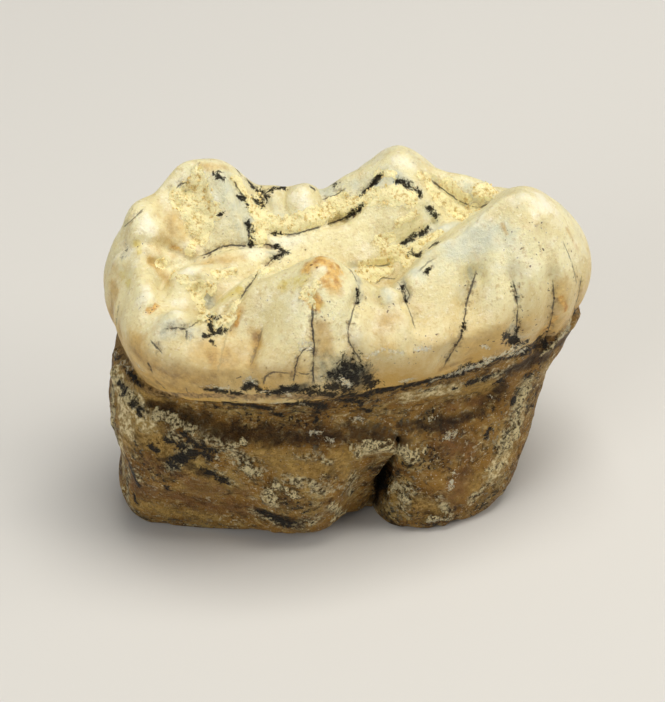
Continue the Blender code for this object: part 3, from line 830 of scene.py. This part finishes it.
# the band under the crown, all round, is painted shade there as well as dark stain; the stroke at 386,
# 468 paints shade into the hollow between the roots
marks["darkBandAndPaintedShade"] = [
    (1.8, 170, 410, 210, 424, 255, 434, 310, 436, 360, 434, 400, 438),
    (1.1, 400, 428, 450, 424, 480, 412), (1.4, 386, 468, 384, 480, 377, 498), (0.9, 200, 472, 225, 480),
    (1, 262, 512, 300, 524), (1, 480, 404, 505, 384), (1, 178, 458, 190, 466),
    (0.8, 150, 404, 165, 408), (2, -13, 10.9, -5, 10.6, 4, 10.8, 12, 10.9, "far"),
    (1.8, 3.5, 10.9, 7, 10.9, "left"), (1.8, -7, 10.9, 7, 10.9, "right"),
]
# the enamel's lower edge: brown, and painted shade where it overhangs
marks["lipAndPaintedShade"] = [
    (0.6, 150, 392, 180, 395, 230, 396, 290, 397, 345, 397),
    (0.6, 114, 350, 124, 369, 134, 381, 152, 393), (1, 113, 342, 120, 358, 130, 370),
    (0.4, 380, 396, 410, 389, 450, 379, 500, 362, 540, 350),
    (0.5, -13.5, 12.6, -5, 12.6, 5, 12.6, 13, 12.6, "far"), (0.5, 3, 12.6, 7, 12.6, "left"),
    (0.5, -7, 12.6, 7, 12.6, "right"),
]
marks["brownSpeck"] = [
    (0.9, 240, 300, 238, 312, 236, 326, 234, 334), (0.7, 306, 267, 308, 272), (0.6, 314, 265, 316, 266),
    (0.55, 282, 289, 284, 290), (1, 245, 185, 258, 198), (0.8, 356, 286, 358, 304),
    (0.9, 402, 288, 408, 304), (0.8, 384, 302, 396, 308), (0.6, 138, 246, 139, 254),
    (0.45, 139, 297, 142, 295), (0.6, 196, 270, 206, 276), (0.8, 146, 308, 156, 306),
    (1, 540, 232, 546, 250), (0.8, 504, 230, 508, 242), (1, 566, 238, 573, 265, 575, 292),
    (0.8, 553, 285, 552, 316), (0.9, 548, 318, 552, 332), (0.6, 260, 301, 264, 303),
    (1.2, 200, 472, 222, 480), (0.8, 326, 300, 322, 318), (1.4, 280, 455, 330, 470),
    (1, 466, 305, 474, 275), (1.1, 460, 340, 450, 356), (1.1, 506, 330, 518, 318),
    (1.2, 520, 240, 534, 262), (1.4, 150, 440, 166, 448), (1.2, 272, 268, 290, 264),
    (1, 196, 258, 216, 256), (1.4, 430, 340, 410, 360), (1.2, 224, 385, 250, 380),
    (1.4, 490, 340, 530, 330),
]
marks["clay"] = [
    (1.5, 196, 184, 203, 200, 209, 214), (1.3, 181, 200, 190, 212, 198, 226), (0.7, 176, 192, 180, 204),
    (0.8, 208, 224, 204, 240), (0.6, 196, 240, 190, 250), (0.6, 236, 180, 246, 196, 252, 208),
    (1.2, 254, 206, 260, 222, 258, 236), (1.1, 264, 222, 282, 226, 302, 222, 320, 216),
    (0.6, 258, 198, 262, 210), (0.9, 322, 214, 334, 206, 342, 200), (0.9, 346, 208, 356, 202),
    (1.2, 368, 198, 378, 198), (1.3, 388, 196, 400, 194, 408, 198), (0.6, 380, 174, 391, 174),
    (0.6, 418, 175, 428, 178), (1, 430, 188, 440, 196, 450, 206, 462, 212),
    (0.9, 446, 186, 456, 192, 466, 200), (0.8, 470, 208, 484, 211), (0.9, 478, 192, 488, 192),
    (0.6, 466, 218, 474, 214), (0.6, 376, 240, 392, 238), (1, 386, 252, 402, 254, 412, 262),
    (0.8, 412, 250, 426, 242), (0.6, 430, 238, 440, 234), (0.9, 356, 276, 370, 274, 388, 268),
    (0.6, 362, 264, 384, 262), (0.9, 194, 286, 208, 288), (0.8, 196, 296, 202, 312),
    (0.7, 204, 316, 214, 320), (0.7, 222, 324, 232, 316), (0.5, 234, 308, 238, 302),
    (0.5, 218, 330, 226, 326), (0.45, 256, 275, 266, 270, 276, 266), (0.7, 158, 263, 161, 265),
    (0.5, 305, 288, 304, 296), (0.5, 310, 300, 312, 304), (0.5, 316, 284, 312, 292),
    (0.6, 216, 275, 232, 272), (0.6, 398, 222, 414, 214), (0.5, 172, 278, 186, 278),
]
marks["paleChip"] = [
    (0.9, 114, 372, 120, 382, 126, 392, 136, 402), (0.9, 158, 413, 172, 420, 190, 428),
    (0.7, 140, 476, 141, 480), (0.7, 124, 490, 124, 500), (0.9, 268, 492, 273, 503),
    (0.6, 275, 484, 296, 496), (0.6, 238, 444, 244, 442), (0.7, 330, 505, 336, 508),
    (0.9, 358, 452, 366, 448, 386, 446, 403, 451, 414, 460), (0.8, 392, 484, 404, 498),
    (0.9, 508, 446, 518, 424), (0.8, 526, 392, 530, 380), (0.9, 546, 350, 560, 338, 568, 322),
    (0.45, 428, 519, 445, 517, 458, 520), (0.6, 113, 396, 113, 420), (0.6, 488, 470, 500, 462),
    (0.5, 418, 451, 426, 450), (0.6, 516, 404, 524, 396), (0.6, 240, 468, 258, 472),
    (0.6, 330, 520, 345, 512), (0.9, -10, 9, -7, 8.7, "far"), (0.8, 4, 8.8, 7, 8.6, "far"),
    (0.7, 5, 9.2, 6, 8.9, "left"), (0.8, -3, 9, 0, 8.8, "right"),
    (0.7, -12, 5, -11.4, 4, "far"),
]
marks["manganeseAndPaintedShade"] = [
    (1.9, 346, 374, 353, 382, 344, 390), (1.2, 330, 388, 342, 384), (0.9, 366, 378, 372, 386),
    (0.5, 238, 171, 248, 177, 256, 184), (0.7, 250, 184, 260, 192, 264, 198),
    (0.3, 264, 190, 274, 189, 284, 187), (0.4, 254, 200, 262, 206),
    (0.45, 313, 188, 324, 186, 336, 184), (0.5, 217, 174, 220, 177), (0.3, 127, 248, 124, 256),
    (0.25, 238, 196, 244, 199, 248, 206), (0.4, 247, 222, 250, 234, 251, 245),
    (0.25, 218, 217, 223, 213), (0.3, 272, 232, 279, 234), (0.4, 348, 216, 362, 208),
    (0.4, 275, 259, 281, 254, 286, 252), (0.35, 276, 247, 283, 251),
    (0.36, 363, 194, 370, 189, 373, 184, 377, 180), (0.3, 378, 178, 384, 174),
    (0.4, 398, 181, 405, 183, 407, 188, 414, 189, 420, 195),
    (0.32, 427, 207, 432, 209, 431, 213, 437, 217, 438, 221), (0.28, 426, 229, 430, 225, 437, 222),
    (0.5, 403, 243, 411, 241, 414, 235, 424, 233, 430, 229), (0.4, 410, 253, 415, 256, 421, 254),
    (0.36, 429, 248, 433, 244, 438, 243), (0.35, 208, 322, 212, 317, 218, 318),
    (0.35, 208, 322, 212, 330), (0.4, 206, 336, 216, 334, 226, 330), (0.25, 210, 340, 213, 343),
    (0.2, 357, 286, 358, 304), (0.24, 403, 286, 406, 302), (0.3, 425, 274, 430, 267),
    (0.7, 505, 336, 516, 342), (0.35, 530, 345, 546, 332), (0.2, 518, 320, 516, 338),
    (0.2, 464, 322, 461, 336), (0.16, 512, 284, 517, 298), (0.7, 270, 393, 290, 389, 310, 391),
    (0.7, 308, 392, 335, 394, 366, 395), (0.55, 246, 388, 254, 384, 262, 391),
    (0.4, 205, 389, 222, 391, 240, 393), (0.5, 368, 394, 385, 390, 405, 386),
    (0.65, 405, 386, 430, 381, 455, 374), (0.8, 455, 373, 480, 364, 500, 358),
    (0.7, 500, 358, 522, 351, 545, 344), (0.5, 232, 404, 252, 405, 270, 408),
    (0.45, 272, 411, 282, 415), (0.8, 291, 404, 306, 403, 324, 407), (0.4, 318, 408, 317, 420),
    (0.5, 468, 384, 484, 378, 492, 375), (0.4, 495, 383, 506, 376), (0.3, 454, 388, 458, 387),
    (0.4, 525, 377, 531, 374), (0.4, 360, 408, 368, 412), (1, 172, 464, 184, 458, 196, 450),
    (0.5, 166, 440, 182, 446), (0.5, 184, 434, 200, 446, 210, 458), (0.45, 150, 446, 156, 452),
    (0.5, 127, 460, 134, 474, 140, 486), (0.35, 134, 492, 137, 503), (0.6, 122, 384, 126, 392),
    (0.6, 134, 404, 140, 413), (0.35, 166, 484, 168, 490), (0.8, 266, 514, 290, 524),
    (0.5, 512, 402, 518, 392), (0.4, 490, 426, 486, 436), (0.5, 516, 346, 526, 342),
    # the stroke at 380, 472 paints shade into the hollow between the roots
    (0.5, 344, 400, 362, 403), (1.1, 380, 472, 384, 486), (0.5, 203, 444, 216, 452),
    (0.4, 222, 402, 236, 402), (0.6, 206, 470, 224, 482), (0.3, 112, 350, 118, 360),
    (0.35, 128, 372, 140, 384), (0.8, -6, 9.6, -4, 9.4, "far"), (0.9, 8, 6, 9, 5, "far"),
    (1, -10, 5, -9, 4, "far"), (0.9, 2, 3.5, 3, 2.6, "far"), (0.6, -13, 12.9, -8, 12.8, -2, 13, "far"),
    (0.7, 1, 12.9, 8, 12.8, 13, 13, "far"), (0.7, 5, 7, 6, 6, "left"), (1, 2, 6, 3, 5, "right"),
    (0.6, -5, 12.8, 0, 12.9, 6, 12.8, "right"),
]
# pale chips, and painted glints on the crust
marks["whiteChipAndPaintedGlint"] = [
    (0.35, 205, 386, 216, 387, 226, 388), (0.35, 245, 382, 251, 378, 256, 383),
    (0.3, 262, 391, 268, 392), (0.3, 285, 393, 292, 395), (0.4, 341, 378, 350, 386),
    (0.3, 366, 360, 372, 355, 382, 349), (0.3, 391, 351, 403, 353), (0.3, 416, 349, 431, 348),
    (0.35, 402, 382, 413, 379), (0.3, 432, 381, 440, 379), (0.6, 460, 371, 476, 366, 490, 361),
    (0.5, 486, 359, 504, 354), (0.4, 508, 356, 524, 350), (0.3, 444, 376, 456, 373),
    (0.3, 300, 343, 311, 345), (0.3, 303, 349, 311, 348), (0.34, 456, 472, 450, 487),
    (0.25, 309, 432, 322, 433), (0.25, 326, 440, 334, 441), (0.25, 352, 417, 362, 418),
    (0.25, 430, 418, 436, 416), (0.25, 445, 437, 455, 433), (0.35, 112, 346, 116, 356),
    (0.35, 122, 362, 130, 370), (0.25, 300, 404, 306, 405), (0.3, 188, 334, 191, 337),
    (0.22, 428, 520, 444, 518, 458, 521), (0.4, 570, 322, 564, 332, 556, 342),
    (0.4, 508, 352, 520, 346), (0.3, 484, 346, 488, 348), (0.25, 270, 404, 282, 402),
    (0.25, 488, 396, 492, 397), (0.25, 216, 474, 220, 476), (0.25, 136, 362, 142, 370),
]

cracks = [  # half width, darkness, path
    (0.06, 0.9, 313, 302, 312, 322, 314, 345, 313, 370, 314, 388),
    (0.05, 0.8, 309, 347, 303, 351, 298, 358, 295, 368, 294, 384),
    (0.05, 0.7, 263, 386, 265, 377, 273, 372, 290, 374), (0.05, 0.7, 297, 373, 304, 375, 311, 374),
    (0.055, 0.75, 359, 284, 357, 300, 352, 315, 348, 328, 349, 342, 356, 354, 364, 366),
    (0.05, 0.6, 404, 283, 409, 294, 406, 303, 412, 316, 416, 330),
    (0.06, 0.85, 477, 268, 472, 285, 466, 305, 464, 322, 461, 338, 452, 352, 442, 370),
    (0.05, 0.75, 512, 278, 516, 292, 518, 308, 517, 322, 516, 340),
    (0.05, 0.75, 553, 278, 554, 300, 552, 315, 548, 332, 541, 350),
    (0.05, 0.7, 582, 275, 578, 298, 573, 314),
    (0.06, 0.9, 197, 258, 212, 252, 222, 247, 232, 245, 248, 246,
     262, 244, 270, 245, 276, 249, 286, 252),
    (0.05, 0.8, 286, 252, 275, 257, 262, 269, 252, 281, 245, 291, 238, 302),
    (0.05, 0.8, 272, 232, 285, 235, 300, 233, 312, 229, 322, 226),
    (0.07, 0.9, 326, 225, 340, 220, 352, 215, 362, 208), (0.05, 0.8, 322, 199, 335, 196, 346, 188),
    (0.07, 0.9, 361, 194, 372, 186, 376, 178, 384, 174), (0.04, 0.7, 341, 262, 352, 271, 357, 282),
    (0.04, 0.6, 365, 265, 378, 266, 390, 264),
    (0.05, 0.6, 375, 284, 382, 278, 394, 278, 402, 287, 403, 298),
    (0.06, 0.8, 428, 178, 440, 187, 452, 196, 462, 203, 480, 208, 492, 201),
    (0.05, 0.8, 233, 180, 239, 191, 246, 201), (0.05, 0.8, 176, 189, 182, 183, 191, 182),
    (0.08, 0.8, 150, 340, 156, 347, 162, 354), (0.07, 0.8, 148, 363, 152, 373),
    (0.05, 0.7, 155, 380, 166, 390), (0.07, 0.8, 163, 329, 178, 328, 187, 330, 187, 342),
    (0.05, 0.6, 189, 328, 199, 321), (0.04, 0.6, 122, 228, 134, 218, 144, 208),
    (0.06, 0.7, 425, 275, 433, 265), (0.12, 0.4, 262, 326, 257, 345, 250, 368),
    (0.1, 0.4, 118, 304, 115, 330), (0.08, 0.18, 228, 330, 222, 352, 218, 372),
    (0.05, 0.5, 436, 258, 428, 262, 418, 272), (0.04, 0.5, 186, 388, 188, 395),
    (0.05, 0.6, 563, 240, 572, 262, 577, 285),
    (0.07, 0.8, -9.4, 19.5, -9, 17, -9.6, 13.2, "far"), (0.07, 0.8, 2.4, 18, 2.8, 16, 2, 13.2, "far"),
    (0.06, 0.7, 8.6, 18.6, 8.2, 16.5, 8.8, 13.6, "far"),
    (0.06, 0.7, -1.2, 18, -1, 16, -1.6, 13.4, "right"),
]

# the seam is a brown band along each crack, partly painted shade in its groove
crackReach = {"full": 0.12, "none": 0.28, "taper": 0.1, "seamAndPaintedShade": 0.9, "seamAndPaintedShadeShare": 0.95}
warmth = {"full": 12.5, "none": 18.5, "most": 1.5}  # heights between which the wall turns warmer
sharpMarks = ("manganeseAndPaintedShade", "whiteChipAndPaintedGlint", "paleChip", "brownSpeck")  # these fall off straight
crusts = {"clay": {"lump": 0.9, "fill": 1.45}, "paleChip": {"lump": 0.5, "fill": 1.2}}
crustEdge = {"octaves": 3, "seed": 23.0, "drop": 0.6}


def setAttribute(piece, name, values):
    attribute = piece.data.attributes.new(name, "FLOAT", "POINT")
    attribute.data.foreach_set("value", values.astype(np.float32))


def paintMarks(piece, tree):
    points, normals = meshArrays(piece)
    painted = {}
    for name, strokes in marks.items():
        amount = np.zeros(len(points))
        for stroke in strokes:
            reach, path, side = strokeParts(stroke, 1)
            distance, _, _ = nearPath(points, normals, tree, path, side, reach)
            near = np.clip(1 - distance / reach, 0, 1)
            amount = np.maximum(amount, near if name in sharpMarks else smoothStep(near))
        if name in crusts:  # a crust's edge is ragged in the mesh too
            crust = crusts[name]
            lumps = noiseAt(points, crust["lump"], crustEdge["octaves"], crustEdge["seed"]) / 2 + 0.5
            amount = smoothStep(amount * crust["fill"] + lumps - crustEdge["drop"]) * (amount > 0)
        setAttribute(piece, name, amount)
        painted[name] = amount
    low, high = warmth["full"], warmth["none"]
    setAttribute(piece, "warm", warmth["most"] * smoothStep((high - points[:, 2]) / (high - low)))
    return painted


def paintCracks(piece, tree):
    points, normals = meshArrays(piece)
    best = np.full(len(points), nearest["unreached"])
    side = np.full(len(points), nearest["unreached"])
    dark = np.zeros(len(points))
    seamAndPaintedShade = np.zeros(len(points))
    reach = crackReach["none"]
    for stroke in cracks:
        width, darkness, path, view = strokeParts(stroke, 2)
        distance, across, along = nearPath(points, normals, tree, path, view, crackReach["seamAndPaintedShade"])
        near = smoothStep(1 - distance / crackReach["seamAndPaintedShade"])
        nearer = distance < np.minimum(best, reach)
        best[nearer] = distance[nearer]
        side[nearer] = across[nearer] / width
        ends = smoothStep(np.minimum(along, 1 - along) / crackReach["taper"])
        # the seam: brown stain along the crack, and painted shade in its groove
        seamAndPaintedShade = np.maximum(seamAndPaintedShade, darkness * crackReach["seamAndPaintedShadeShare"] * near * ends)
        fade = smoothStep((reach - distance) / (reach - crackReach["full"]))
        dark[nearer] = (darkness * ends * fade)[nearer]
    setAttribute(piece, "crackSide", side)
    setAttribute(piece, "crackDark", dark)
    setAttribute(piece, "seamAndPaintedShade", seamAndPaintedShade)
    return best


tree = surfaceTree(tooth)
painted = paintMarks(tooth, tree)
crackDistance = paintCracks(tooth, tree)
print("stains and cracks marked")


# Fine relief: the crusts stand out, and the root is rougher than the enamel.

roughForm = {
    "root": {"rise": 0.10, "size": 1.8, "octaves": 3, "seed": 7.0},
    "enamel": {"rise": 0.045, "size": 2.5, "octaves": 2, "seed": 3.0},
    "rootGrain": {"rise": 0.05, "size": 0.5, "octaves": 3, "seed": 11.0},
    "crumb": {"rise": 0.2, "size": 0.7, "octaves": 3, "seed": 19.0},
    "crustRise": 0.08, "crustFrom": 0.3, "crustRun": 0.3,
    "crackDepth": 0.05, "crackReach": 0.25,
    "marginZ": 12.3, "marginRun": 0.3, "footRun": 0.8,
}


def swell(points, name):
    form = roughForm[name]
    return form["rise"] * noiseAt(points, form["size"], form["octaves"], form["seed"])


def finePush(piece):
    points, _ = meshArrays(piece)
    root = smoothStep((roughForm["marginZ"] - points[:, 2]) / roughForm["marginRun"])
    push = root * swell(points, "root") + (1 - root) * swell(points, "enamel")
    push += root * swell(points, "rootGrain")
    crumbs = roughForm["crustRise"] + swell(points, "crumb")
    for name in crusts:
        push += smoothStep((painted[name] - roughForm["crustFrom"]) / roughForm["crustRun"]) * crumbs
    push -= roughForm["crackDepth"] * smoothStep(1 - crackDistance / roughForm["crackReach"])
    return push * smoothStep(points[:, 2] / roughForm["footRun"])


moveOut(tooth, finePush(tooth))
print("surface roughened")


# Loose crumbs of clay, half sunk in the crust.

crumbForm = {
    "shapes": 5, "jag": 0.45, "count": 700, "seed": 7,
    "small": 0.03, "large": 0.11, "fewLarge": 2, "stretch": (0.5, 1.4),
    "sunk": 0.4,
    "least": 0.35,  # no crumb where there is less clay than this
}


def dryClay():
    # dried cave clay: pale yellow, crumbly and quite matt
    material, tree = newMaterial("dry_cave_clay")
    where = addNode(tree, "ShaderNodeTexCoord").outputs["Object"]
    clay = next(stain for stain in stains if stain["mark"] == "clay")
    colour = addTint(tree, addSpread(tree, where, clay["speck"]), *clay["colours"])
    body = addNode(tree, "ShaderNodeBsdfPrincipled", {},
                   {"Base Color": colour, "Roughness": clay["roughness"]})
    addNode(tree, "ShaderNodeOutputMaterial", {}, {"Surface": body.outputs["BSDF"]})
    return material


def crumbShapes():
    shapes = []
    for index in range(crumbForm["shapes"]):
        bpy.ops.mesh.primitive_ico_sphere_add(subdivisions=1, radius=mm)
        bpy.ops.object.mode_set(mode="EDIT")
        bpy.ops.mesh.select_all(action="SELECT")
        bpy.ops.transform.vertex_random(offset=crumbForm["jag"] * mm, seed=index + 1)
        bpy.ops.object.mode_set(mode="OBJECT")
        shapes.append(bpy.context.object)
    return shapes


def scatterCrumbs(piece, cover):
    points, normals = meshArrays(piece)
    chance = random.Random(crumbForm["seed"])
    spots = [int(i) for i in np.nonzero(cover > crumbForm["least"])[0]]
    shapes = crumbShapes()
    copies = []
    for i in chance.sample(spots, min(crumbForm["count"], len(spots))):
        shape = chance.choice(shapes)
        crumb = bpy.data.objects.new("crumb", shape.data.copy())
        share = chance.random() ** crumbForm["fewLarge"]
        size = crumbForm["small"] + (crumbForm["large"] - crumbForm["small"]) * share
        out = Vector(normals[i])
        crumb.location = (Vector(points[i]) + out * size * (1 - 2 * crumbForm["sunk"])) * mm
        crumb.rotation_euler = [chance.uniform(0, 2 * math.pi) for _ in range(3)]
        crumb.scale = [size * chance.uniform(*crumbForm["stretch"]) for _ in range(3)]
        bpy.context.scene.collection.objects.link(crumb)
        copies.append(crumb)
    for shape in shapes:
        bpy.data.objects.remove(shape)
    bpy.ops.object.select_all(action="DESELECT")
    for crumb in copies:
        crumb.select_set(True)
    bpy.context.view_layer.objects.active = copies[0]
    bpy.ops.object.join()
    crumbs = bpy.context.object
    crumbs.name = "clay_crumbs"
    bpy.ops.object.transform_apply(location=True, rotation=True, scale=True)
    crumbs.data.materials.clear()
    crumbs.data.materials.append(dryClay())
    return crumbs


crumbs = scatterCrumbs(tooth, painted["clay"])
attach(crumbs, "root")
print("crumbs scattered:", len(crumbs.data.polygons), "faces")

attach(tooth, "root")
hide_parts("tooth")
